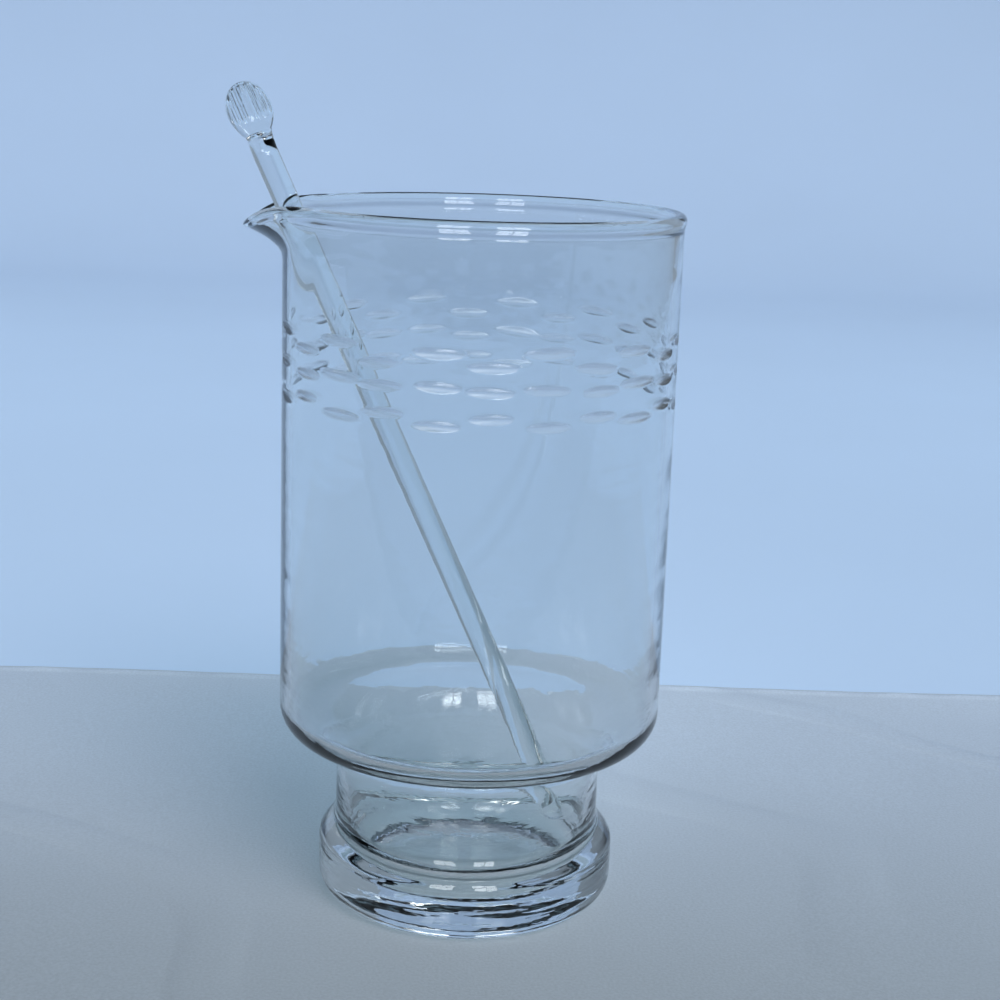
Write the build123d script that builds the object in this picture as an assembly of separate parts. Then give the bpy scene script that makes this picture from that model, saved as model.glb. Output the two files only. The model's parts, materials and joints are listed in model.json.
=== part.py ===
from build123d import *
import math
import os

# A clear glass cocktail pitcher with a stirring rod leaning in its pouring lip.
# Millimetres. The origin is the centre of the foot's underside, +Z is up and the lip points to -X.

# Body
RIM_HEIGHT = 203.5
BODY_RADIUS = 56.0
WALL = 2.6
BEAD_HEIGHT = 4.4
BEAD_PROUD = 0.6

# Heel, waist and foot, outside
HEEL_HEIGHT = 52.0
HEEL_DROP = 5.0
HEEL_RADIUS = 8.5
WAIST_RADIUS = 39.1
WAIST_TOP_COVE = 13.0
WAIST_FOOT_COVE = 5.0
FOOT_RADIUS = 44.0
FOOT_SIDE_HEIGHT = 17.3
FOOT_SHOULDER_RISE = 6.5
FOOT_TOP_ROUND = 4.5
FOOT_BASE_ROUND = 7.0
PUNT_RADIUS = 34.0
PUNT_DEPTH = 1.6

# Heel, well and floor, inside
HEEL_FLOOR = 3.0
INNER_HEEL_RADIUS = 5.6
SHOULDER_RADIUS = 16.0
WELL_WALL = 3.2
FLOOR_THICKNESS = 8.5
FLOOR_CORNER = 13.0

# Straight length that the roundings of the turned forms leave between them
LEAST_STRAIGHT = 0.2

# Pouring lip: the rim is drawn out over an arc of the wall, and its tip hangs below the rim
LIP_HALF_ANGLE = 36.0
LIP_REACH = 11.3
LIP_DROP = 7.4
LIP_CURL_HEIGHT = 8.8
LIP_CURL_POWER = 2.0
LIP_EDGE_POWER = 3.5
LIP_THINNING = 1.1
LIP_OVERLAP = 0.15

# Stirring rod: its tip sits in the corner of the well, and it leans on the lip
ROD_DIAMETER = 7.2
ROD_LENGTH = 241.0
ROD_TIP_BEARING = 28.0
ROD_TIP_CORNER_ANGLE = 70.0
ROD_SEAT_GAP = 0.45
PADDLE_WIDTH = 12.4
PADDLE_LENGTH = 16.0
PADDLE_THICKNESS = 4.4
PADDLE_EDGE_ROUND = 1.9
PADDLE_OFFSET = 0.8
PADDLE_GROOVES = 5
PADDLE_GROOVE_PITCH = 1.8
PADDLE_GROOVE_RADIUS = 0.8
PADDLE_GROOVE_DEPTH = 0.6
NECK_LENGTH = 7.0

# Worked out from the sizes above
WELL_RADIUS = WAIST_RADIUS - WELL_WALL
INNER_RADIUS = BODY_RADIUS - WALL
FUNNEL_HEIGHT = HEEL_HEIGHT + HEEL_FLOOR
BEAD_CENTRE = RIM_HEIGHT - BEAD_HEIGHT / 2
ABOVE_RIM = RIM_HEIGHT + BEAD_HEIGHT
LIP_ROOT_DEPTH = LIP_DROP + LIP_CURL_HEIGHT
ROD_RADIUS = ROD_DIAMETER / 2


def shares(count):
    """Evenly spaced shares of a whole, from 0 to 1."""
    return [step / count for step in range(count + 1)]


def held_roundings(corners):
    """Roundings of a closed line's corners, each held to what the straight runs beside it can carry."""
    places = [Vector(radius, height, 0) for radius, height, _ in corners]
    runs = [after - place for place, after in zip(places, places[1:] + places[:1])]
    # An arc takes up this length of the run on each side of its corner.
    taken = [
        rounding * math.tan(math.radians(before.get_angle(run) / 2))
        for (_, _, rounding), before, run in zip(corners, runs[-1:] + runs[:-1], runs)
    ]
    fits = [
        min(1, (run.length - LEAST_STRAIGHT) / (here + there)) if here + there else 1
        for run, here, there in zip(runs, taken, taken[1:] + taken[:1])
    ]
    return [
        rounding * min(before, after)
        for (_, _, rounding), before, after in zip(corners, fits[-1:] + fits[:-1], fits)
    ]


def half_section(corners):
    """Face in the XZ plane from (radius, height, rounding) corners, on the +X side of the axis."""
    face = make_face(Polyline(*[(radius, height) for radius, height, _ in corners], close=True))
    for (radius, height, _), rounding in zip(corners, held_roundings(corners)):
        if rounding:
            face = fillet(face.vertices().sort_by_distance((radius, height))[0], rounding)
    return Plane.XZ * face


def outer_form():
    """Foot, waist, sloping heel and straight body, turned as one solid."""
    corners = [
        (0, 0, 0),
        (FOOT_RADIUS, 0, FOOT_BASE_ROUND),
        (FOOT_RADIUS, FOOT_SIDE_HEIGHT, FOOT_TOP_ROUND),
        (WAIST_RADIUS, FOOT_SIDE_HEIGHT + FOOT_SHOULDER_RISE, WAIST_FOOT_COVE),
        (WAIST_RADIUS, HEEL_HEIGHT - HEEL_DROP, WAIST_TOP_COVE),
        (BODY_RADIUS, HEEL_HEIGHT, HEEL_RADIUS),
        (BODY_RADIUS, BEAD_CENTRE, 0),
        (0, BEAD_CENTRE, 0),
    ]
    return revolve(half_section(corners), Axis.Z)


def cavity():
    """The inside: a wide body, a funnel over the heel and a narrower well down the waist."""
    corners = [
        (0, FLOOR_THICKNESS, 0),
        (WELL_RADIUS, FLOOR_THICKNESS, FLOOR_CORNER),
        (WELL_RADIUS, FUNNEL_HEIGHT - HEEL_DROP, SHOULDER_RADIUS),
        (INNER_RADIUS, FUNNEL_HEIGHT, INNER_HEEL_RADIUS),
        (INNER_RADIUS, BEAD_CENTRE, 0),
        (0, BEAD_CENTRE, 0),
    ]
    return revolve(half_section(corners), Axis.Z)


def rim_bead():
    """The fire-polished rim: a ring of oval section, a little wider than the wall."""
    oval = Ellipse(WALL / 2 + BEAD_PROUD, BEAD_HEIGHT / 2)
    return revolve(Plane.XZ * Pos(BODY_RADIUS - WALL / 2, BEAD_CENTRE) * oval, Axis.Z)


def punt():
    """Shallow hollow of the underside, a cap of a large sphere, so that the foot stands on a ring."""
    sphere_radius = (PUNT_RADIUS**2 + PUNT_DEPTH**2) / (2 * PUNT_DEPTH)
    return Pos(0, 0, PUNT_DEPTH - sphere_radius) * Sphere(sphere_radius)


def lip_push(angle, depth):
    """How far the wall is drawn out, at an angle in degrees from -X and a depth below the rim.

    Round the rim the reach is a smooth hump. Down the wall it dies away as a power of the height
    left in the curl, which hangs lower in the middle of the hump.
    """
    hump = math.cos(math.pi / 2 * angle / LIP_HALF_ANGLE) ** 2
    curl = 1 - (depth - LIP_DROP * hump) / LIP_CURL_HEIGHT
    return LIP_REACH * hump * min(1, max(0, curl)) ** LIP_CURL_POWER


def lip_section(base_radius, depth, lag):
    """Level slice of the lip: an arc of the wall drawn out, and closed by a chord."""
    points = []
    for share in shares(10):
        angle = LIP_HALF_ANGLE * (2 * share - 1)
        radius = base_radius + lip_push(angle, depth + lag)
        turn = math.radians(180 + angle)
        points.append((radius * math.cos(turn), radius * math.sin(turn)))
    outline = Spline(*points) + Line(points[-1], points[0])
    return Pos(0, 0, RIM_HEIGHT - depth) * make_face(outline)


def lip_form(base_radius, lag, top_depth):
    """Loft of the lip's level slices, from under the root of its curl up to a depth below the rim."""
    below_root = LIP_ROOT_DEPTH + WALL
    depths = [below_root + (top_depth - below_root) * share for share in shares(6)]
    return loft([lip_section(base_radius, depth, lag) for depth in depths])


def lip_trim():
    """Everything above the lip's edge, which stays level with the rim and then bends down to the tip."""
    start = INNER_RADIUS * math.cos(math.radians(LIP_HALF_ANGLE))
    span = BODY_RADIUS + LIP_REACH - start
    edge = [(-start - span * share, RIM_HEIGHT - LIP_DROP * share**LIP_EDGE_POWER) for share in shares(8)]
    beyond = (edge[-1][0] - LIP_REACH, edge[-1][1] - LIP_REACH)
    edge.append(beyond)
    outline = Spline(*edge) + Polyline(edge[-1], (edge[-1][0], ABOVE_RIM), (edge[0][0], ABOVE_RIM), edge[0])
    return extrude(Plane.XZ * make_face(outline), BODY_RADIUS, both=True)


def pitcher_vessel():
    """The pitcher: turned form with the lip drawn out, hollowed, and its rim finished with a bead."""
    drawn_out = outer_form() + lip_form(BODY_RADIUS - LIP_OVERLAP, 0, 0)
    hollowed = drawn_out - cavity() - punt()
    channel = lip_form(INNER_RADIUS - LIP_OVERLAP, LIP_THINNING, -BEAD_HEIGHT)
    return (hollowed + rim_bead() - channel - lip_trim()).solid()


def lip_channel_line():
    """Points down the middle of the lip's channel, inside, as (radius, height)."""
    line = []
    for share in shares(40):
        depth = LIP_DROP + LIP_CURL_HEIGHT * share
        channel = INNER_RADIUS - LIP_OVERLAP + lip_push(0, depth + LIP_THINNING)
        line.append((max(INNER_RADIUS, channel), RIM_HEIGHT - depth))
    return line


def rod_plane():
    """The rod's own frame: origin at the centre of its round tip, Z along the rod, X across the paddle.

    The tip lies in the rounded corner of the well's floor. The lean is found by halving: it is the
    largest that keeps the rod a seat gap away from the middle of the lip's channel.
    """
    corner_angle = math.radians(ROD_TIP_CORNER_ANGLE)
    room = FLOOR_CORNER - ROD_RADIUS - ROD_SEAT_GAP
    tip_radius = WELL_RADIUS - FLOOR_CORNER + room * math.sin(corner_angle)
    tip_height = FLOOR_THICKNESS + FLOOR_CORNER - room * math.cos(corner_angle)
    bearing = math.radians(ROD_TIP_BEARING)
    tip = Vector(tip_radius * math.cos(bearing), tip_radius * math.sin(bearing), tip_height)
    upright, flat = 0.0, BODY_RADIUS + LIP_REACH
    for _ in range(40):
        middle = (upright + flat) / 2
        along = (Vector(-middle, 0, RIM_HEIGHT) - tip).normalized()
        gap = min(
            (Vector(-radius, 0, height) - tip).cross(along).length - ROD_RADIUS
            for radius, height in lip_channel_line()
        )
        inside = all(
            (Vector(-radius, 0, height) - tip).X < along.X * (height - tip.Z) / along.Z
            for radius, height in lip_channel_line()
        )
        if inside and gap > ROD_SEAT_GAP:
            upright = middle
        else:
            flat = middle
    along = (Vector(-upright, 0, RIM_HEIGHT) - tip).normalized()
    return Plane(origin=tip, x_dir=Vector(0, 1, 0).cross(along), z_dir=along)


def paddle():
    """Thumb paddle: an oval pressed flat between grooved jaws, its middle at the origin."""
    oval = extrude(Plane.XZ * Ellipse(PADDLE_WIDTH / 2, PADDLE_LENGTH / 2), PADDLE_THICKNESS / 2, both=True)
    oval = fillet(oval.edges(), PADDLE_EDGE_ROUND)
    lift = PADDLE_THICKNESS / 2 + PADDLE_GROOVE_RADIUS - PADDLE_GROOVE_DEPTH
    groove = Pos(0, 0, PADDLE_LENGTH / 3) * Cylinder(PADDLE_GROOVE_RADIUS, PADDLE_LENGTH)
    groove += Pos(0, 0, -PADDLE_LENGTH / 6) * Sphere(PADDLE_GROOVE_RADIUS)
    for number in range(PADDLE_GROOVES):
        across = (number - (PADDLE_GROOVES - 1) / 2) * PADDLE_GROOVE_PITCH
        oval -= Pos(across, lift, 0) * groove
        oval -= Pos(across, -lift, 0) * groove
    return oval


def stirring_rod():
    """Solid rod with a round tip, a neck that flattens, and the thumb paddle."""
    paddle_middle = ROD_LENGTH - ROD_RADIUS - PADDLE_LENGTH / 2
    neck_end = paddle_middle - PADDLE_LENGTH / 4
    neck_start = neck_end - NECK_LENGTH
    shaft = Pos(0, 0, neck_start / 2) * Cylinder(ROD_RADIUS, neck_start)
    round_end = Pos(0, 0, neck_start) * Circle(ROD_RADIUS)
    flat_end = Pos(0, 0, neck_end) * Ellipse(PADDLE_WIDTH / 3, PADDLE_THICKNESS / 2 - PADDLE_GROOVE_DEPTH)
    neck = loft([round_end, flat_end])
    rod = shaft + Sphere(ROD_RADIUS) + neck + Pos(PADDLE_OFFSET, 0, paddle_middle) * paddle()
    return (rod_plane() * rod).solid()


os.makedirs("parts", exist_ok=True)
vessel = pitcher_vessel()
rod = stirring_rod()
frame = rod_plane()
print("rod tip", [round(value, 3) for value in frame.origin])
print("rod axis", [round(value, 5) for value in frame.z_dir])
print("rod to vessel", round(rod.distance_to(vessel), 3))
export_step(vessel, "parts/pitcher_vessel.step")
export_step(rod, "parts/stirring_rod.step")
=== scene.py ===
import json
import math

import bpy
import numpy as np
from mathutils import Matrix, Vector


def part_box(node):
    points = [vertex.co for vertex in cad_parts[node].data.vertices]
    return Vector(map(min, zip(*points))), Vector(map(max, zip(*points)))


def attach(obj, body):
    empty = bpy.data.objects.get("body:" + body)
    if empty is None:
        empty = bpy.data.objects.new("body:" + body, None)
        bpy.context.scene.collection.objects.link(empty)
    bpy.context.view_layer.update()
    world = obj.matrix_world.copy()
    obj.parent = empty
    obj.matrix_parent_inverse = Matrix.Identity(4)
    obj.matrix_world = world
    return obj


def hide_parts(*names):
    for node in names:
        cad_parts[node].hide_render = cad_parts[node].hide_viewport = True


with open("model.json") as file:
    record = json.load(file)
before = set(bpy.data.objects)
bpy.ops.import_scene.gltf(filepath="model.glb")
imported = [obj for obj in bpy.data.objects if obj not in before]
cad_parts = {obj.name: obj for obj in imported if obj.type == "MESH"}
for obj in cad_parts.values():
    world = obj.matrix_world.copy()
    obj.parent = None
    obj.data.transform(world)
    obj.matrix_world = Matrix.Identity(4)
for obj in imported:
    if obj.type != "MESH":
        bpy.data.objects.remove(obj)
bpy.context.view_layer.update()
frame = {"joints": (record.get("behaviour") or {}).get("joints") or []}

bl_info = {
    "name": "Cocktail pitcher",
    "version": (1, 0, 0),
    "blender": (4, 5, 0),
    "location": "3D View > Sidebar > Pitcher",
    "description": "Blown glass cocktail pitcher with cut grains and a glass stirring rod",
    "category": "Add Mesh",
}

MM = 0.001
# Where the floor that the glass mirrors ends, towards the viewer, and how deep it lies under the cloth.
FRONT_EDGE = -0.3
UNDER_CLOTH = 2.5 * MM
DAYLIGHT = 0.93, 0.97, 1.0


def linear(hex_colour):
    """Linear RGBA of an sRGB hex colour: each channel goes through the sRGB curve."""
    channels = np.array([int(hex_colour[at:at + 2], 16) for at in (1, 3, 5)]) / 255
    curve = np.where(channels <= 0.04045, channels / 12.92, ((channels + 0.055) / 1.055) ** 2.4)
    return (*curve.tolist(), 1.0)


def length(name, description, millimetres):
    """A length property, given in millimetres and kept in metres."""
    return bpy.props.FloatProperty(
        name=name, description=description, default=millimetres * MM, unit="LENGTH", precision=5)


def colour(name, description, hex_colour):
    """A colour property, given as an sRGB hex value."""
    return bpy.props.FloatVectorProperty(
        name=name, description=description, default=linear(hex_colour), size=4, subtype="COLOR",
        min=0, max=1)


def share(name, description, value):
    """A plain number from 0 to 1."""
    return bpy.props.FloatProperty(name=name, description=description, default=value, min=0, max=1)


class PitcherSizes(bpy.types.PropertyGroup):
    """Sizes of the blown vessel."""

    rim_height: length("Rim height", "Table to the top of the rim", 203.5)
    body_radius: length("Body radius", "Outside of the straight body", 56.0)
    wall: length("Wall", "Thickness of the body's wall", 2.6)
    bead_height: length("Bead height", "Height of the fire-polished rim bead", 4.4)
    bead_proud: length("Bead proud", "How far the bead stands out from the wall, each side", 0.6)
    heel_height: length("Heel height", "Table to the corner of the heel before it is rounded", 52.0)
    heel_drop: length("Heel drop", "Fall of the heel's underside to the waist", 5.0)
    heel_round: length("Heel round", "Rounding of the heel, outside", 8.5)
    waist_radius: length("Waist radius", "Outside of the waist", 39.1)
    waist_top_cove: length("Waist top cove", "Cove where the waist meets the heel", 13.0)
    waist_foot_cove: length("Waist foot cove", "Cove where the waist meets the foot", 5.0)
    foot_radius: length("Foot radius", "Outside of the foot", 44.0)
    foot_side: length("Foot side", "Height of the foot's side", 17.3)
    foot_rise: length("Foot rise", "Rise of the foot's shoulder to the waist", 6.5)
    foot_top_round: length("Foot top round", "Rounding of the foot's upper edge", 4.5)
    foot_base_round: length("Foot base round", "Rounding of the foot's lower edge", 7.0)
    punt_radius: length("Punt radius", "Radius of the hollow underneath", 34.0)
    punt_depth: length("Punt depth", "Depth of the hollow underneath", 1.6)
    heel_floor: length("Heel floor", "Glass over the heel's underside", 3.0)
    inner_heel_round: length("Inner heel round", "Rounding of the heel, inside", 5.6)
    shoulder_round: length("Shoulder round", "Rounding where the heel drops into the well", 16.0)
    well_wall: length("Well wall", "Glass between the waist and the well", 3.2)
    floor: length("Floor", "Thickness of the glass under the well", 8.5)
    floor_corner: length("Floor corner", "Rounding of the well's floor", 13.0)
    lip_half_angle: bpy.props.FloatProperty(
        name="Lip half angle", description="Half of the arc that is drawn out", default=math.radians(36),
        subtype="ANGLE")
    lip_reach: length("Lip reach", "How far the lip's tip is drawn out", 11.3)
    lip_drop: length("Lip drop", "How far the tip hangs below the rim", 7.4)
    lip_curl: length("Lip curl", "Height of the lip's curl", 8.8)
    lip_thinning: length("Lip thinning", "Lag of the inside of the curl", 1.1)
    cut_long: length("Cut length", "Length of a cut grain of the long columns", 14.0)
    cut_short: length("Short cut length", "Length of a cut grain of the columns between", 12.6)
    cut_height: length("Cut height", "Height of a cut grain", 2.8)
    cut_depth: length("Cut depth", "Depth of a cut grain", 0.6)


class RodSizes(bpy.types.PropertyGroup):
    """Sizes of the drawn stirring rod and its pressed thumb paddle."""

    diameter: length("Diameter", "Diameter of the rod", 7.2)
    length: length("Length", "Whole length, tip to paddle", 241.0)
    paddle_width: length("Paddle width", "Width of the thumb paddle", 12.4)
    paddle_length: length("Paddle length", "Length of the thumb paddle", 16.0)
    paddle_thickness: length("Paddle thickness", "Thickness of the pressed paddle", 4.4)
    paddle_offset: length("Paddle offset", "How far the paddle was pressed off the rod's axis", 0.8)
    ridge_pitch: length("Ridge pitch", "Spacing of the paddle's ridges", 1.8)
    ridge_depth: length("Ridge depth", "Depth of the grooves between the ridges", 0.6)


class GlassLook(bpy.types.PropertyGroup):
    """Colours and finish of the glass."""

    vessel_tint: colour("Vessel tint", "Colour that clear soda-lime glass passes", "#F6F8F8")
    rod_tint: colour("Rod tint", "Colour that the rod's glass passes", "#F8FBFB")
    shadow_tint: colour("Shadow tint", "Light that each surface lets through to a shadow", "#E4EAEB")
    body_green: colour("Edge colour", "Colour of thick glass seen on edge", "#BFCCCB")
    cut_white: colour("Cut white", "Colour of the ground grains", "#EDF2F7")
    cut_roughness: share("Cut roughness", "How matt the wheel left the grains", 0.24)
    cut_scatter: share("Cut scatter", "How much the ground grains scatter light", 0.1)


class StageLook(bpy.types.PropertyGroup):
    """Colours of the floor cloth, the sweep behind it and the room."""

    cloth: colour("Cloth", "Washed cotton cloth on the floor", "#A3ACB4")
    # Painted light: a paler, bluer colour for the back of the cloth, standing in for light thrown onto it
    # from the sweep.
    cloth_back_painted_bounce: colour("Cloth at the back", "The cloth near its back hem, tinted by the sweep", "#C0CEDF")
    sweep: colour("Sweep", "Pale painted sweep behind the cloth", "#AFC3DD")
    # Painted light: the sweep is painted paler near the cloth, standing in for more light falling there.
    sweep_near_painted_light: colour("Sweep, low", "The sweep near the cloth, less faded", "#C8E0FC")
    room_dim: colour("Dim room", "The room behind the viewer and to the left", "#3A4149")
    room_pale: colour("Pale room", "The room to the right and towards the sweep", "#A3B4C6")
    cloth_edge: length("Cloth edge", "From the pitcher's axis back to the cloth's hem", 187.0)


def add_node(tree, kind, settings=None, inputs=None):
    """Adds a node, sets its own settings, and fills or links its inputs, by name or number."""
    node = tree.nodes.new(kind)
    for name, value in (settings or {}).items():
        setattr(node, name, value)
    for name, value in (inputs or {}).items():
        if isinstance(value, bpy.types.NodeSocket):
            tree.links.new(value, node.inputs[name])
        else:
            node.inputs[name].default_value = value
    return node


def new_material(name):
    """An empty node material with its output node and its tree."""
    material = bpy.data.materials.new(name)
    material.use_nodes = True
    tree = material.node_tree
    tree.nodes.clear()
    return material, tree, add_node(tree, "ShaderNodeOutputMaterial")


def glass_surface(tree, output, shader, passed):
    """Ends a glass material: its shader, and for shadow rays a clear surface that dims the light."""
    shadow = add_node(tree, "ShaderNodeLightPath").outputs["Is Shadow Ray"]
    clear = add_node(tree, "ShaderNodeBsdfTransparent", inputs={"Color": passed}).outputs["BSDF"]
    both = add_node(tree, "ShaderNodeMixShader", inputs={0: shadow, 1: shader.outputs["BSDF"], 2: clear})
    tree.links.new(both.outputs["Shader"], output.inputs["Surface"])


def blown_soda_lime(look):
    """Blown and wheel-cut soda-lime glass.

    Clear and almost colourless, grey-green where it is thick. Blowing leaves long shallow ripples, which
    bend what shows through the wall, and handling leaves faint smears. The grains are ground and not
    polished again, so there the surface is matt and whitish.
    """
    material, tree, output = new_material("blown_soda_lime_glass")
    place = add_node(tree, "ShaderNodeTexCoord").outputs["Object"]
    ground = add_node(tree, "ShaderNodeAttribute", {"attribute_name": "ground"}).outputs["Fac"]
    slanted = add_node(tree, "ShaderNodeMapping", inputs={
        "Vector": place, "Rotation": (0.35, 0, 0), "Scale": (1, 1, 3.2)}).outputs["Vector"]
    # Ripples about 26 mm long and 8 mm high, and chill marks about 7 mm long low on the body.
    ripple = add_node(tree, "ShaderNodeTexNoise", inputs={
        "Vector": slanted, "Scale": 1 / (26 * MM), "Detail": 1.5, "Roughness": 0.45}).outputs["Fac"]
    chill = add_node(tree, "ShaderNodeTexNoise", inputs={
        "Vector": slanted, "Scale": 1 / (7 * MM), "Detail": 2.0, "Roughness": 0.5}).outputs["Fac"]
    height = add_node(tree, "ShaderNodeSeparateXYZ", inputs={"Vector": place}).outputs["Z"]
    low = add_node(tree, "ShaderNodeMapRange", {"interpolation_type": "SMOOTHSTEP"}, {
        "Value": height, "From Min": 95 * MM, "From Max": 45 * MM}).outputs["Result"]
    chill_low = add_node(tree, "ShaderNodeMath", {"operation": "MULTIPLY"}, {0: chill, 1: low}).outputs[0]
    waves = add_node(tree, "ShaderNodeMath", {"operation": "MULTIPLY_ADD"}, {
        0: chill_low, 1: 0.6, 2: ripple}).outputs[0]
    # Lines that the tools left round the foot while it was turned, about 3 mm apart and 45 mm long.
    level = add_node(tree, "ShaderNodeMapping", inputs={
        "Vector": place, "Scale": (1, 1, 15)}).outputs["Vector"]
    tooled = add_node(tree, "ShaderNodeTexNoise", inputs={
        "Vector": level, "Scale": 1 / (45 * MM), "Detail": 1.0, "Roughness": 0.5}).outputs["Fac"]
    foot = add_node(tree, "ShaderNodeMapRange", {"interpolation_type": "SMOOTHSTEP"}, {
        "Value": height, "From Min": 24 * MM, "From Max": 16 * MM}).outputs["Result"]
    flat = add_node(tree, "ShaderNodeMapping", inputs={
        "Vector": place, "Scale": (1, 1, 0)}).outputs["Vector"]
    reach = add_node(tree, "ShaderNodeVectorMath", {"operation": "LENGTH"}, {0: flat}).outputs["Value"]
    outer = add_node(tree, "ShaderNodeMapRange", {"interpolation_type": "SMOOTHSTEP"}, {
        "Value": reach, "From Min": 36 * MM, "From Max": 39 * MM, "To Max": foot}).outputs["Result"]
    tooled_foot = add_node(tree, "ShaderNodeMath", {"operation": "MULTIPLY"}, {
        0: tooled, 1: outer}).outputs[0]
    # Grit of the wheel, 0.5 mm, coarser than it is so that it shows.
    grit = add_node(tree, "ShaderNodeTexNoise", inputs={
        "Vector": place, "Scale": 1 / (0.5 * MM), "Detail": 2.0, "Roughness": 0.6}).outputs["Fac"]
    grit_cut = add_node(tree, "ShaderNodeMath", {"operation": "MULTIPLY"}, {
        0: grit, 1: ground}).outputs[0]
    wave_bump = add_node(tree, "ShaderNodeBump", inputs={
        "Height": waves, "Strength": 0.4, "Distance": 0.25 * MM}).outputs["Normal"]
    tool_bump = add_node(tree, "ShaderNodeBump", inputs={
        "Height": tooled_foot, "Strength": 0.8, "Distance": 0.4 * MM,
        "Normal": wave_bump}).outputs["Normal"]
    bump = add_node(tree, "ShaderNodeBump", inputs={
        "Height": grit_cut, "Strength": 0.1, "Distance": 0.08 * MM,
        "Normal": tool_bump}).outputs["Normal"]
    smear = add_node(tree, "ShaderNodeTexNoise", inputs={
        "Vector": place, "Scale": 1 / (34 * MM), "Detail": 4.0, "Roughness": 0.62}).outputs["Fac"]
    smear_rough = add_node(tree, "ShaderNodeMapRange", inputs={
        "Value": smear, "From Min": 0.5, "From Max": 0.85, "To Max": 0.06}).outputs["Result"]
    grit_rough = add_node(tree, "ShaderNodeMapRange", inputs={
        "Value": grit, "To Min": look.cut_roughness * 0.75,
        "To Max": look.cut_roughness * 1.25}).outputs["Result"]
    rough = add_node(tree, "ShaderNodeMix", {"data_type": "FLOAT"}, {
        "Factor": ground, "A": smear_rough, "B": grit_rough}).outputs["Result"]
    tint = add_node(tree, "ShaderNodeMix", {"data_type": "RGBA"}, {
        "Factor": ground, 6: look.vessel_tint, 7: look.cut_white}).outputs[2]
    clear = add_node(tree, "ShaderNodeMapRange", inputs={
        "Value": ground, "To Min": 1.0, "To Max": 1.0 - look.cut_scatter}).outputs["Result"]
    shader = add_node(tree, "ShaderNodeBsdfPrincipled", inputs={
        "Base Color": tint, "Roughness": rough, "IOR": 1.52, "Transmission Weight": clear,
        "Normal": bump})
    thick = add_node(tree, "ShaderNodeVolumeAbsorption", inputs={
        "Color": look.body_green, "Density": 2.5})
    glass_surface(tree, output, shader, look.shadow_tint)
    tree.links.new(thick.outputs["Volume"], output.inputs["Volume"])
    return material


def drawn_rod_glass(look):
    """Drawn and fire-polished glass rod.

    Solid clear glass, pulled out while soft, so it carries faint lines along its length, and its pressed
    paddle has a slightly dimpled, cooled skin.
    """
    material, tree, output = new_material("drawn_rod_glass")
    along = add_node(tree, "ShaderNodeUVMap", {"uv_map": "draw"}).outputs["UV"]
    stretched = add_node(tree, "ShaderNodeMapping", inputs={
        "Vector": along, "Scale": (1, 0.03, 1)}).outputs["Vector"]
    # Draw lines about 1.5 mm apart round the rod, and skin dimples about 3 mm across.
    lines = add_node(tree, "ShaderNodeTexNoise", inputs={
        "Vector": stretched, "Scale": 1 / (1.5 * MM), "Detail": 1.0}).outputs["Fac"]
    place = add_node(tree, "ShaderNodeTexCoord").outputs["Object"]
    skin = add_node(tree, "ShaderNodeTexNoise", inputs={
        "Vector": place, "Scale": 1 / (3 * MM), "Detail": 2.0}).outputs["Fac"]
    line_bump = add_node(tree, "ShaderNodeBump", inputs={
        "Height": lines, "Strength": 0.35, "Distance": 0.05 * MM}).outputs["Normal"]
    bump = add_node(tree, "ShaderNodeBump", inputs={
        "Height": skin, "Strength": 0.3, "Distance": 0.06 * MM, "Normal": line_bump}).outputs["Normal"]
    rough = add_node(tree, "ShaderNodeMapRange", inputs={
        "Value": skin, "From Min": 0.45, "From Max": 0.8, "To Max": 0.05}).outputs["Result"]
    shader = add_node(tree, "ShaderNodeBsdfPrincipled", inputs={
        "Base Color": look.rod_tint, "Roughness": rough, "IOR": 1.51, "Transmission Weight": 1.0,
        "Normal": bump})
    thick = add_node(tree, "ShaderNodeVolumeAbsorption", inputs={
        "Color": look.body_green, "Density": 3.0})
    glass_surface(tree, output, shader, look.shadow_tint)
    tree.links.new(thick.outputs["Volume"], output.inputs["Volume"])
    return material


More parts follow.
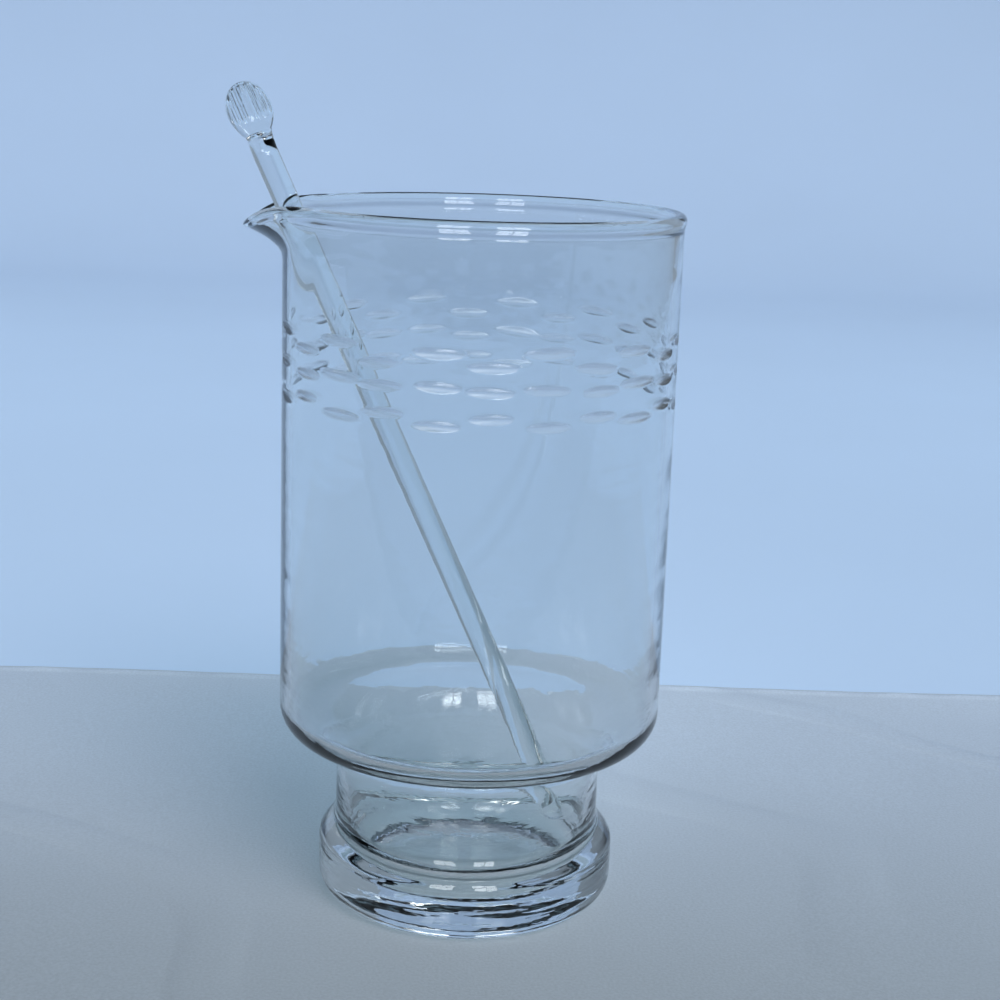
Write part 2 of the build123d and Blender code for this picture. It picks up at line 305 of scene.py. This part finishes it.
def washed_cotton(look):
    """Washed cotton sheeting: matt, a fine plain weave, a little uneven in tone, and painted paler and
    bluer towards its back hem.
    """
    material, tree, output = new_material("washed_cotton_cloth")
    place = add_node(tree, "ShaderNodeTexCoord").outputs["Object"]
    # Yarns of 0.9 mm, coarser than sheeting has, so that the weave just shows.
    yarns = add_node(tree, "ShaderNodeTexNoise", inputs={
        "Vector": place, "Scale": 1 / (0.9 * MM), "Detail": 2.0}).outputs["Fac"]
    tone = add_node(tree, "ShaderNodeTexNoise", inputs={
        "Vector": place, "Scale": 1 / (120 * MM), "Detail": 3.0}).outputs["Fac"]
    # Painted light: towards the back hem the colour blends to a paler, bluer one, standing in for light
    # off the sweep.
    back = add_node(tree, "ShaderNodeMapRange", {"interpolation_type": "SMOOTHSTEP"}, {
        "Value": add_node(tree, "ShaderNodeSeparateXYZ", inputs={"Vector": place}).outputs["Y"],
        "From Min": -120 * MM, "From Max": 190 * MM}).outputs["Result"]
    hue = add_node(tree, "ShaderNodeMix", {"data_type": "RGBA"}, {
        "Factor": back, 6: look.cloth, 7: look.cloth_back_painted_bounce}).outputs[2]
    mottle = add_node(tree, "ShaderNodeMapRange", inputs={
        "Value": tone, "To Min": 0.93, "To Max": 1.05}).outputs["Result"]
    weave = add_node(tree, "ShaderNodeMapRange", inputs={
        "Value": yarns, "From Min": 0.3, "From Max": 0.7,
        "To Min": 0.94, "To Max": 1.06}).outputs["Result"]
    shade = add_node(tree, "ShaderNodeHueSaturation", inputs={"Color": hue, "Value": add_node(
        tree, "ShaderNodeMath", {"operation": "MULTIPLY"}, {0: mottle, 1: weave}).outputs[0]})
    # Creases from folding and washing, about 90 mm apart and wandering.
    wander = add_node(tree, "ShaderNodeTexWave", {"bands_direction": "DIAGONAL"}, {
        "Vector": place, "Scale": 0.31 / (90 * MM), "Distortion": 9.0, "Detail": 2.0,
        "Detail Scale": 0.8}).outputs["Fac"]
    creases = add_node(tree, "ShaderNodeMapRange", {"interpolation_type": "SMOOTHSTEP"}, {
        "Value": wander, "From Min": 0.9}).outputs["Result"]
    crease_bump = add_node(tree, "ShaderNodeBump", inputs={
        "Height": creases, "Strength": 0.5, "Distance": 1.2 * MM}).outputs["Normal"]
    bump = add_node(tree, "ShaderNodeBump", inputs={
        "Height": yarns, "Strength": 0.5, "Distance": 0.2 * MM, "Normal": crease_bump}).outputs["Normal"]
    shader = add_node(tree, "ShaderNodeBsdfPrincipled", inputs={
        "Base Color": shade.outputs["Color"], "Roughness": 0.95, "Specular IOR Level": 0.15,
        "Normal": bump})
    tree.links.new(shader.outputs["BSDF"], output.inputs["Surface"])
    return material


def painted_sweep(look):
    """Matt painted board, with the faint clouding of a roller, and painted paler near the cloth to stand
    in for light.
    """
    material, tree, output = new_material("painted_sweep_board")
    place = add_node(tree, "ShaderNodeTexCoord").outputs["Object"]
    cloud = add_node(tree, "ShaderNodeTexNoise", inputs={
        "Vector": place, "Scale": 1 / (300 * MM), "Detail": 2.0}).outputs["Fac"]
    # Painted light: from 2.3 m to 0.7 m behind the axis the colour blends to a paler one, standing in for
    # light on the near floor.
    far = add_node(tree, "ShaderNodeMapRange", {"interpolation_type": "SMOOTHSTEP"}, {
        "Value": add_node(tree, "ShaderNodeSeparateXYZ", inputs={"Vector": place}).outputs["Y"],
        "From Min": 0.7, "From Max": 2.3}).outputs["Result"]
    hue = add_node(tree, "ShaderNodeMix", {"data_type": "RGBA"}, {
        "Factor": far, 6: look.sweep_near_painted_light, 7: look.sweep}).outputs[2]
    mottle = add_node(tree, "ShaderNodeMapRange", inputs={
        "Value": cloud, "To Min": 0.97, "To Max": 1.03}).outputs["Result"]
    shade = add_node(tree, "ShaderNodeHueSaturation", inputs={"Color": hue, "Value": mottle})
    shader = add_node(tree, "ShaderNodeBsdfPrincipled", inputs={
        "Base Color": shade.outputs["Color"], "Roughness": 0.9, "Specular IOR Level": 0.1})
    tree.links.new(shader.outputs["BSDF"], output.inputs["Surface"])
    return material


def ring_faces(rows, columns):
    """Quads between neighbouring rows of a grid whose columns close into a ring."""
    row = np.arange(rows - 1)[:, None] * columns
    column = np.arange(columns)[None, :]
    following = (column + 1) % columns
    quads = [row + column, row + following, row + columns + following, row + columns + column]
    return np.stack(quads, -1).reshape(-1, 4)


def closed_surface(name, rings, first_pole, last_pole):
    """A closed mesh from a grid of rings, (rows, columns, 3), with a fan to a pole at each end."""
    rows, columns = rings.shape[:2]
    points = np.concatenate([rings.reshape(-1, 3), [first_pole, last_pole]])
    column = np.arange(columns)
    following = (column + 1) % columns
    last_row = (rows - 1) * columns
    first, last = rows * columns, rows * columns + 1
    first_fan = np.stack([following, column, np.full(columns, first)], -1)
    last_fan = np.stack([last_row + column, last_row + following, np.full(columns, last)], -1)
    faces = ring_faces(rows, columns).tolist() + first_fan.tolist() + last_fan.tolist()
    mesh = bpy.data.meshes.new(name)
    mesh.from_pydata(points.tolist(), [], faces)
    mesh.polygons.foreach_set("use_smooth", np.ones(len(mesh.polygons), dtype=bool))
    mesh.update()
    if mesh.validate():
        raise RuntimeError(f"{name}: the surface has faulty faces")
    return mesh


def put_in_scene(name, mesh, material):
    """A new object at the origin, with one material."""
    mesh.materials.append(material)
    made = bpy.data.objects.new(name, mesh)
    bpy.context.scene.collection.objects.link(made)
    return made


def smooth_step(value):
    """0 below 0, 1 above 1, and 3v^2 - 2v^3 between."""
    held = np.clip(value, 0, 1)
    return held * held * (3 - 2 * held)


def rounded_line(corners, steps=10):
    """Points (radius, height) of straight runs joined by tangent arcs.

    Each corner is (radius, height, rounding). An arc starts and ends at the rounding divided by the
    tangent of half the corner's angle, and is swept by turning the vector from its centre evenly.
    """
    places = np.array([corner[:2] for corner in corners])
    line = [places[:1]]
    for before, (radius, height, rounding), after in zip(places, corners[1:-1], places[2:]):
        corner = np.array([radius, height])
        back = (before - corner) / np.linalg.norm(before - corner)
        on = (after - corner) / np.linalg.norm(after - corner)
        half = math.acos(float(back @ on)) / 2
        centre = corner + (back + on) / np.linalg.norm(back + on) * rounding / math.sin(half)
        run = rounding / math.tan(half)
        turn = math.pi - 2 * half
        part = np.linspace(0, 1, steps)[:, None]
        start, end = corner + back * run - centre, corner + on * run - centre
        arc = (start * np.sin((1 - part) * turn) + end * np.sin(part * turn)) / math.sin(turn)
        line.append(centre + arc)
    line.append(places[-1:])
    return np.concatenate(line)


def lip_push(size, angle, depth):
    """How far the wall is drawn out, by the angle from the lip and the depth below the rim.

    Round the rim it is a smooth hump, the square of a cosine. Down the wall it dies away as the square
    of the height that is left in the curl, which hangs lower in the middle of the hump.
    """
    hump = lip_hump(size, angle)
    curl = 1 - (depth - size.lip_drop * hump) / size.lip_curl
    return size.lip_reach * hump * np.clip(curl, 0, 1) ** 2


def lip_hump(size, angle):
    """The square of a cosine, 1 in the middle of the lip and 0 at the ends of its arc."""
    part = np.clip(np.abs(angle) / size.lip_half_angle, 0, 1)
    return np.cos(np.pi / 2 * part) ** 2


def rim_rings(size, angles):
    """The top of the vessel: outside of the wall, crest of the rim and inside of the wall, as rings.

    Going up, a row keeps its share of the height between the start of the top and the rim's edge, so the
    rows sink with the edge at the lip. The wall is a middle line, which the lip draws out, and half a
    thickness to each side. The half thickness swells into the bead and closes as a quarter of an ellipse.
    """
    top = 24 * MM
    crown = size.bead_height / 2
    lower = np.array([1, 0.87, 0.75, 0.65, 0.56, 0.48, 0.41, 0.35, 0.30, 0.255, 0.215])
    bead = crown * (1 + np.array([0.80, 0.6, 0.4, 0.2])) / top
    cap = crown * (1 - np.sin(np.linspace(0, 0.5 * np.pi, 9)[:-1])) / top
    below = np.concatenate([lower, bead, cap])[:, None]
    angle = angles[None, :]
    hump = lip_hump(size, angle)
    middle = size.body_radius - size.wall / 2
    edge_start = (size.body_radius - size.wall) * math.cos(size.lip_half_angle)
    edge_span = size.body_radius + size.lip_reach - edge_start
    along = np.clip(((middle + size.lip_reach * hump) * np.cos(angle) - edge_start) / edge_span, 0, 1)
    edge = size.rim_height - size.lip_drop * along ** 3.5
    base = size.rim_height - top
    depth_below_edge = below * (edge - base)
    height = edge - depth_below_edge
    depth = size.rim_height - height
    outside = size.body_radius + lip_push(size, angle, depth)
    # Drawing the lip out thins the glass at its flanks, by this share, and leaves a drop at the tip.
    flank_loss = 0.3
    thin = 4 * hump * (1 - hump)
    lag = size.lip_thinning * (1 - 0.8 * thin)
    inside = size.body_radius - size.wall * (1 - flank_loss * thin) + lip_push(size, angle, depth + lag)
    line = (outside + inside) / 2
    half = (outside - inside) / 2
    swell = 0.5 + 0.5 * np.cos(np.pi * np.clip((below * top - crown) / (1.1 * crown), 0, 1))
    half = half + size.bead_proud * (1 - hump) * swell
    closing = np.sqrt(np.clip(1 - np.clip((crown - below * top) / crown, 0, 1) ** 2, 0, 1))
    outer = np.stack([line + half * closing, height], -1)
    inner = np.stack([line - half * closing, height], -1)
    crest_push = lip_push(size, angle, size.rim_height - edge)
    crest_lag = lip_push(size, angle, size.rim_height - edge + lag)
    crest_line = middle + flank_loss / 2 * size.wall * thin + (crest_push + crest_lag) / 2
    crest = np.stack([crest_line, edge], -1)
    return outer, crest, inner[::-1]


def grain_depth(size, angles, heights):
    """Depth of the wheel-cut grains at each height and angle.

    There are twelve long columns of three grains and twelve shorter columns between them. A wheel with a
    round edge leaves an oval: the depth falls from its middle with the square of the distance along the
    cut plus the square of the distance across it, both as shares of half the cut's size. Hand work
    shifts, stretches and tilts each one a little.
    """
    hand = np.random.default_rng(7)
    turns = 12
    long_rows = np.array([151.0, 161.0, 170.1]) * MM
    short_rows = np.array([153.2, 160.0, 166.4]) * MM
    step = np.radians(360 / turns) * np.arange(turns)
    # Angles are counted from -Y, so that a column faces the viewer.
    facing = math.radians(-90)
    long_at, long_up = np.meshgrid(facing + math.radians(-11) + step, long_rows)
    short_at, short_up = np.meshgrid(facing + math.radians(3.5) + step, short_rows)
    at = np.concatenate([long_at.ravel(), short_at.ravel()])
    up = np.concatenate([long_up.ravel(), short_up.ravel()])
    reach = np.repeat([size.cut_long, size.cut_short], [long_at.size, short_at.size]) / 2
    at = at + hand.normal(0, math.radians(0.7), at.size)
    up = up + hand.normal(0, 0.35 * MM, up.size)
    reach = reach * hand.normal(1, 0.05, up.size)
    tilt = hand.normal(0, math.radians(1.6), up.size)
    swing = (angles[None, None, :] - at[:, None, None] + np.pi) % (2 * np.pi) - np.pi
    across = heights[None, :, None] - up[:, None, None]
    along = swing * size.body_radius
    across = across - along * np.tan(tilt)[:, None, None]
    oval = 1 - (along / reach[:, None, None]) ** 2 - (across / (size.cut_height / 2)) ** 2
    return size.cut_depth * np.clip(oval, 0, 1).max(axis=0)


def vessel_rings(size):
    """The skin of the vessel as rings, from under the foot, up the outside, over the rim and down inside.

    The turned parts are rows of one radius and height. The rim rows follow the lip, and the rows of the
    cut band are pressed in by the depth of the grains. Returns the rings and how far each point is ground.
    """
    columns = 440
    turn = np.linspace(0, 2 * np.pi, columns, endpoint=False)
    inner_radius = size.body_radius - size.wall
    well_radius = size.waist_radius - size.well_wall
    shelf = size.heel_height + size.heel_floor
    hollow = np.linspace(0.12, 1, 7) * size.punt_radius
    under = np.stack([hollow, size.punt_depth * (1 - (hollow / size.punt_radius) ** 2)], -1)
    outside = rounded_line([
        (size.punt_radius, 0, 0),
        (size.foot_radius, 0, size.foot_base_round),
        (size.foot_radius, size.foot_side, size.foot_top_round),
        (size.waist_radius, size.foot_side + size.foot_rise, size.waist_foot_cove),
        (size.waist_radius, size.heel_height - size.heel_drop, size.waist_top_cove),
        (size.body_radius, size.heel_height, size.heel_round),
        (size.body_radius, 75 * MM, 0),
    ])[1:]
    # Rows lie close together where the wheel cut the grains.
    plain_below = np.array([100, 125, 144, 147.5]) * MM
    band = np.concatenate([
        np.arange(148.6, 155.4, 0.3), np.arange(155.7, 158.0, 0.8), np.arange(158.0, 163.4, 0.3),
        np.arange(163.7, 164.4, 0.4), np.arange(164.5, 172.6, 0.3)]) * MM
    plain_above = np.array([174.0, 177.0]) * MM
    heights = np.concatenate([plain_below, band, plain_above])
    depth = grain_depth(size, turn, heights)
    inside = rounded_line([
        (inner_radius, 150 * MM, 0),
        (inner_radius, shelf, size.inner_heel_round),
        (well_radius, shelf - size.heel_drop, size.shoulder_round),
        (well_radius, size.floor, size.floor_corner),
        (4 * MM, size.floor, 0),
    ], steps=12)
    rim_outer, crest, rim_inner = rim_rings(size, np.abs(from_lip_angle(turn)))
    whole = np.ones(columns)[None, :, None]
    wall = np.stack([size.body_radius - depth, np.broadcast_to(heights[:, None], depth.shape)], -1)
    section = np.concatenate([
        under[:, None, :] * whole, outside[:, None, :] * whole, wall, rim_outer, crest, rim_inner,
        inside[:, None, :] * whole])
    ground = np.zeros(section.shape[:2])
    first = len(under) + len(outside)
    ground[first:first + len(heights)] = smooth_step(depth / (0.12 * size.cut_depth))
    rings = np.stack([
        section[..., 0] * np.cos(turn), section[..., 0] * np.sin(turn), section[..., 1]], -1)
    return rings, ground


def from_lip_angle(turn):
    """Angle from -X, where the lip is, between minus and plus half a turn."""
    return turn % (2 * np.pi) - np.pi


def rod_frame():
    """The rod's own frame, read from the lift joint: its axis, and the axis across the paddle's face."""
    joint = next(joint for joint in frame["joints"] if joint["name"] == "stirrer_lift")
    along = np.array(joint["axis"], dtype=float)
    along /= np.linalg.norm(along)
    across = np.cross([0, 1, 0], along)
    across /= np.linalg.norm(across)
    return along, across, np.cross(along, across)


def rod_tip(size):
    """Centre of the rod's round tip, a rod radius inside the right, back and lower sides of its box."""
    lowest, highest = (np.array(corner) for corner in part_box("stirring_rod"))
    radius = size.diameter / 2
    return np.array([highest[0] - radius, highest[1] - radius, lowest[2] + radius])


def rod_rings(size):
    """The rod's skin as rings along its axis.

    A ring is a flattened oval: the cosine and sine of the turn, raised to a power that squares it up in
    the paddle, times half a width and half a thickness. The tip is half a sphere. The half width is the
    larger of the rod's radius and the paddle's oval, blended, and the thickness falls from the rod's to
    the paddle's: slowly on one side, and in a step on the other. The ridges on the faces are the size of
    a sine of the place across, with sharp valleys between.
    """
    radius = size.diameter / 2
    # A hair short, so that the skin stays inside the solid.
    end = size.length - radius - 0.08 * MM
    middle = end - size.paddle_length / 2
    # Where the neck flattens, bends off the axis and steps down, and where the ridges start.
    neck_start = end - 26 * MM
    flatten_start = end - 21 * MM
    bend_start = end - 20 * MM
    neck_end = end - 17 * MM
    step_start = end - 15.2 * MM
    ridge_start = end - 11.5 * MM
    columns = 240
    turn = np.linspace(0, 2 * np.pi, columns, endpoint=False)[None, :]
    tip = -radius * np.cos(np.linspace(0.12, 0.5 * np.pi, 12))
    shaft = np.linspace(0, neck_start - MM, 14)[1:]
    neck = np.linspace(neck_start, neck_end, 22)
    paddle = end - size.paddle_length * (0.5 + 0.5 * np.cos(np.linspace(0.06, 0.985, 60) * np.pi))
    level = np.concatenate([tip, shaft, neck, paddle])[:, None]
    reach = np.clip((level - middle) / (size.paddle_length / 2), -1, 1)
    oval = size.paddle_width / 2 * np.sqrt(np.clip(1 - reach ** 2, 0, 1))
    ball = np.sqrt(np.clip(radius ** 2 - np.clip(-level, 0, radius) ** 2, 0, None))
    stem = ball * smooth_step((middle - level) / (5 * MM) + 0.5)
    blend = 0.9 * MM
    fillet = blend / 4 * np.exp(-((oval - stem) / blend) ** 2) * (level > bend_start)
    width = np.maximum(oval, stem) + fillet
    width = np.where(level > middle, np.maximum(oval, 0.02 * MM), width)
    pressed = smooth_step((level - flatten_start) / (7 * MM))
    stepped = smooth_step((level - step_start) / (0.9 * MM))
    side = smooth_step(0.5 - np.cos(turn) * 1.5)
    flat = pressed * (1 - side) + stepped * side
    thin = np.minimum(size.paddle_thickness / 2, np.sqrt(np.clip(1 - reach ** 2, 0, 1)) * 6 * MM)
    thickness = ball * (1 - flat) + thin * flat
    power = 1 - 0.45 * flat
    cosine, sine = np.cos(turn), np.sin(turn)
    x = width * np.sign(cosine) * np.abs(cosine) ** power
    y = thickness * np.sign(sine) * np.abs(sine) ** power
    grooves = 1 - np.abs(np.sin(np.pi * x / size.ridge_pitch))
    inner = smooth_step((1 - np.abs(x) / np.maximum(width, MM)) * 5)
    face = smooth_step((level - ridge_start) / (2.5 * MM)) * smooth_step((end - level) / (1.5 * MM))
    y = y - np.sign(sine) * 1.7 * size.ridge_depth * grooves * inner * face
    x = x + size.paddle_offset * smooth_step((level - bend_start) / (9 * MM))
    along, across, facing = rod_frame()
    tip_centre = rod_tip(size)
    along_part = np.broadcast_to(level, x.shape)[..., None] * along
    rings = tip_centre + x[..., None] * across + y[..., None] * facing + along_part
    poles = [tip_centre - radius * along, tip_centre + end * along + size.paddle_offset * across]
    return rings, poles, level


class PITCHER_OT_vessel(bpy.types.Operator):
    """Make the blown vessel with its lip and cut grains."""

    bl_idname = "pitcher.vessel"
    bl_label = "Vessel"

    def execute(self, context):
        size = context.scene.pitcher_sizes
        rings, ground = vessel_rings(size)
        mesh = closed_surface("pitcher_vessel_glass", rings, (0, 0, size.punt_depth), (0, 0, size.floor))
        matt = mesh.attributes.new("ground", "FLOAT", "POINT")
        matt.data.foreach_set("value", np.concatenate([ground.ravel(), [0, 0]]).astype(np.float32))
        vessel = put_in_scene("pitcher_vessel_glass", mesh, blown_soda_lime(context.scene.glass_look))
        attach(vessel, "pitcher")
        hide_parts("pitcher_vessel")
        return {"FINISHED"}


class PITCHER_OT_stirring_rod(bpy.types.Operator):
    """Make the stirring rod with its pressed paddle."""

    bl_idname = "pitcher.stirring_rod"
    bl_label = "Stirring rod"

    def execute(self, context):
        size = context.scene.rod_sizes
        rings, poles, level = rod_rings(size)
        mesh = closed_surface("stirring_rod_glass", rings, *poles)
        columns = rings.shape[1]
        around = np.arange(columns) / columns * np.pi * size.diameter
        place = np.stack(np.broadcast_arrays(around[None, :], level), -1).reshape(-1, 2)
        place = np.concatenate([place, [[0, level[0, 0]], [0, level[-1, 0]]]])
        corners = np.empty(len(mesh.loops), dtype=np.int32)
        mesh.loops.foreach_get("vertex_index", corners)
        mesh.uv_layers.new(name="draw").data.foreach_set("uv", place[corners].astype(np.float32).ravel())
        rod = put_in_scene("stirring_rod_glass", mesh, drawn_rod_glass(context.scene.glass_look))
        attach(rod, "stirrer")
        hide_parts("stirring_rod")
        return {"FINISHED"}


def cloth_mesh(look):
    """A sheet on a grid: flat under the foot, with low folds, sums of sines, and a straight back hem."""
    half_wide, deep = 0.6, 0.49
    across = np.linspace(-half_wide, half_wide, 361)[None, :]
    back = (np.linspace(0, 1, 260) ** 1.6 * deep)[:, None]
    y = look.cloth_edge - back
    x = across + 0 * y
    away = smooth_step((np.hypot(x, y) - 0.07) / 0.12)
    folds = (
        np.sin(x * 21 + np.sin(y * 13) * 1.3) * np.sin(y * 9 + 1.2)
        + 0.6 * np.sin(x * 9 - y * 23 + 0.7) + 0.5 * np.sin(x * 37 + y * 17))
    height = 0.8 * MM * folds * away
    puckers = 0.65 + 0.35 * np.sin(x * 190) * np.sin(x * 47)
    hem = np.exp(-((back - 3 * MM) / (2.2 * MM)) ** 2) * 0.9 * MM * puckers
    height = height * smooth_step(back / 0.03) + hem
    points = np.stack([x, y + 0 * x + 0.8 * MM * np.sin(x * 31), height], -1)
    rows, columns = x.shape
    row = np.arange(rows - 1)[:, None] * columns
    column = np.arange(columns - 1)[None, :]
    below = row + columns
    quads = np.stack([row + column, below + column, below + column + 1, row + column + 1], -1)
    mesh = bpy.data.meshes.new("floor_cloth")
    mesh.from_pydata(points.reshape(-1, 3).tolist(), [], quads.reshape(-1, 4).tolist())
    mesh.polygons.foreach_set("use_smooth", np.ones(len(mesh.polygons), dtype=bool))
    return mesh


def strip_mesh(name, y, z):
    """A strip 3.1 m wide that follows a line of places in y and z."""
    x = np.array([-2.0, 1.1])
    points = np.stack(np.broadcast_arrays(x[None, :], y[:, None], z[:, None]), -1)
    row = np.arange(len(y) - 1) * 2
    quads = np.stack([row, row + 1, row + 3, row + 2], -1)
    mesh = bpy.data.meshes.new(name)
    mesh.from_pydata(points.reshape(-1, 3).tolist(), [], quads.tolist())
    mesh.polygons.foreach_set("use_smooth", np.ones(len(mesh.polygons), dtype=bool))
    return mesh


def sweep_line():
    """A floor just under the cloth, a quarter circle far behind it, and a wall."""
    far, bend, tall = 2.4, 0.8, 2.2
    arc = np.linspace(0, np.pi / 2, 24)
    y = np.concatenate([[FRONT_EDGE, far - bend], far - bend + bend * np.sin(arc)[1:], [far]])
    z = np.concatenate([[0, 0], bend - bend * np.cos(arc)[1:], [tall]]) - UNDER_CLOTH
    return y, z


def window_light(name, middle, width, tall, power):
    """A window that the glass mirrors: four panes with glazing bars between, turned to the pitcher."""
    aim = Vector((0, 0, 0.1)) - Vector(middle)
    turn = aim.to_track_quat("-Z", "Y")
    for number, (right, up) in enumerate([(-1, -1), (1, -1), (-1, 1), (1, 1)]):
        light = bpy.data.lights.new(f"{name}_{number}", "AREA")
        light.shape = "RECTANGLE"
        light.size, light.size_y = width * 0.45, tall * 0.46
        light.energy = power / 4
        light.color = DAYLIGHT
        pane = bpy.data.objects.new(f"{name}_{number}", light)
        pane.location = Vector(middle) + turn @ Vector((right * width / 4, up * tall / 4, 0))
        pane.rotation_euler = turn.to_euler()
        pane.visible_diffuse = False
        bpy.context.scene.collection.objects.link(pane)


def sky_light():
    """Even daylight from the viewer's right: wide, soft, and neither mirrored nor focused by the glass."""
    light = bpy.data.lights.new("daylight", "SUN")
    light.angle = math.radians(36)
    light.energy = 2.8
    light.color = DAYLIGHT
    sky = bpy.data.objects.new("daylight", light)
    sky.rotation_euler = Vector((-0.35, 0.75, -0.75)).to_track_quat("-Z", "Y").to_euler()
    sky.visible_glossy = False
    sky.visible_transmission = False
    bpy.context.scene.collection.objects.link(sky)


def room_world(look):
    """The room: dim behind the viewer and to the left, and paler to the right and towards the sweep."""
    world = bpy.data.worlds.new("room")
    bpy.context.scene.world = world
    world.use_nodes = True
    tree = world.node_tree
    tree.nodes.clear()
    way = add_node(tree, "ShaderNodeTexCoord").outputs["Generated"]
    ahead = add_node(tree, "ShaderNodeVectorMath", {"operation": "DOT_PRODUCT"}, {
        0: way, 1: (0.5, 0.85, 0)}).outputs["Value"]
    part = add_node(tree, "ShaderNodeMapRange", inputs={
        "Value": ahead, "From Min": -0.4, "From Max": 0.6}).outputs["Result"]
    hue = add_node(tree, "ShaderNodeMix", {"data_type": "RGBA"}, {
        "Factor": part, 6: look.room_dim, 7: look.room_pale}).outputs[2]
    sky = add_node(tree, "ShaderNodeBackground", inputs={"Color": hue, "Strength": 0.7})
    output = add_node(tree, "ShaderNodeOutputWorld")
    tree.links.new(sky.outputs["Background"], output.inputs["Surface"])


def photo_camera():
    """A camera in front of the pitcher and above it, turned down, and a little aside and tilted."""
    focal = 1800
    image = 1000
    stand = 0, -0.508, 0.2385
    pitch, tilt, yaw = 0.2305, 0.034, 0.014
    ahead = np.array([math.sin(yaw) * math.cos(pitch), math.cos(yaw) * math.cos(pitch), -math.sin(pitch)])
    level = np.array([math.cos(yaw), -math.sin(yaw), 0])
    upright = np.cross(level, ahead)
    right = math.cos(tilt) * level + math.sin(tilt) * upright
    up = -math.sin(tilt) * level + math.cos(tilt) * upright
    data = bpy.data.cameras.new("camera")
    data.sensor_width = 36
    data.lens = data.sensor_width * focal / image
    camera = bpy.data.objects.new("camera", data)
    camera.matrix_world = Matrix([*np.stack([right, up, -ahead, stand], -1).tolist(), [0, 0, 0, 1]])
    bpy.context.scene.collection.objects.link(camera)
    bpy.context.scene.camera = camera


class PITCHER_OT_stage(bpy.types.Operator):
    """Set the floor cloth, the sweep, the window light and the camera."""

    bl_idname = "pitcher.stage"
    bl_label = "Stage"

    def execute(self, context):
        look = context.scene.stage_look
        cloth = put_in_scene("floor_cloth", cloth_mesh(look), washed_cotton(look))
        paint = painted_sweep(look)
        sweep = put_in_scene("sweep", strip_mesh("sweep", *sweep_line()), paint)
        front_line = np.array([-1.1, FRONT_EDGE]), np.full(2, -UNDER_CLOTH)
        apron = put_in_scene("sweep_front", strip_mesh("sweep_front", *front_line), paint)
        # The floor nearer to the viewer is not seen in the glass.
        apron.visible_glossy = False
        window_light("window_right", (0.58, -1.9, 1.05), 0.66, 1.1, 16)
        window_light("window_left", (-0.58, -1.9, 1.05), 0.66, 1.1, 14)
        sky_light()
        room_world(look)
        photo_camera()
        context.scene.view_settings.view_transform = "Standard"
        return {"FINISHED"}


class PITCHER_PT_panel(bpy.types.Panel):
    """The pitcher's pieces, sizes and colours."""

    bl_idname = "PITCHER_PT_panel"
    bl_label = "Cocktail pitcher"
    bl_space_type = "VIEW_3D"
    bl_region_type = "UI"
    bl_category = "Pitcher"

    def draw(self, context):
        for operator in OPERATORS:
            self.layout.operator(operator.bl_idname)
        for name in GROUPS:
            box = self.layout.box()
            group = getattr(context.scene, name)
            for key in group.__annotations__:
                box.prop(group, key)


OPERATORS = (PITCHER_OT_vessel, PITCHER_OT_stirring_rod, PITCHER_OT_stage)
GROUPS = {
    "pitcher_sizes": PitcherSizes,
    "rod_sizes": RodSizes,
    "glass_look": GlassLook,
    "stage_look": StageLook,
}


def register():
    """Make the classes known, and give the scene its groups."""
    for made in (*GROUPS.values(), *OPERATORS, PITCHER_PT_panel):
        bpy.utils.register_class(made)
    for name, group in GROUPS.items():
        setattr(bpy.types.Scene, name, bpy.props.PointerProperty(type=group))


def unregister():
    """Take the groups and the classes away again."""
    for name in GROUPS:
        delattr(bpy.types.Scene, name)
    for made in reversed((*GROUPS.values(), *OPERATORS, PITCHER_PT_panel)):
        bpy.utils.unregister_class(made)


def main():
    """Make the pieces and the stage."""
    register()
    bpy.ops.pitcher.vessel()
    bpy.ops.pitcher.stirring_rod()
    bpy.ops.pitcher.stage()


if __name__ == "__main__":
    main()
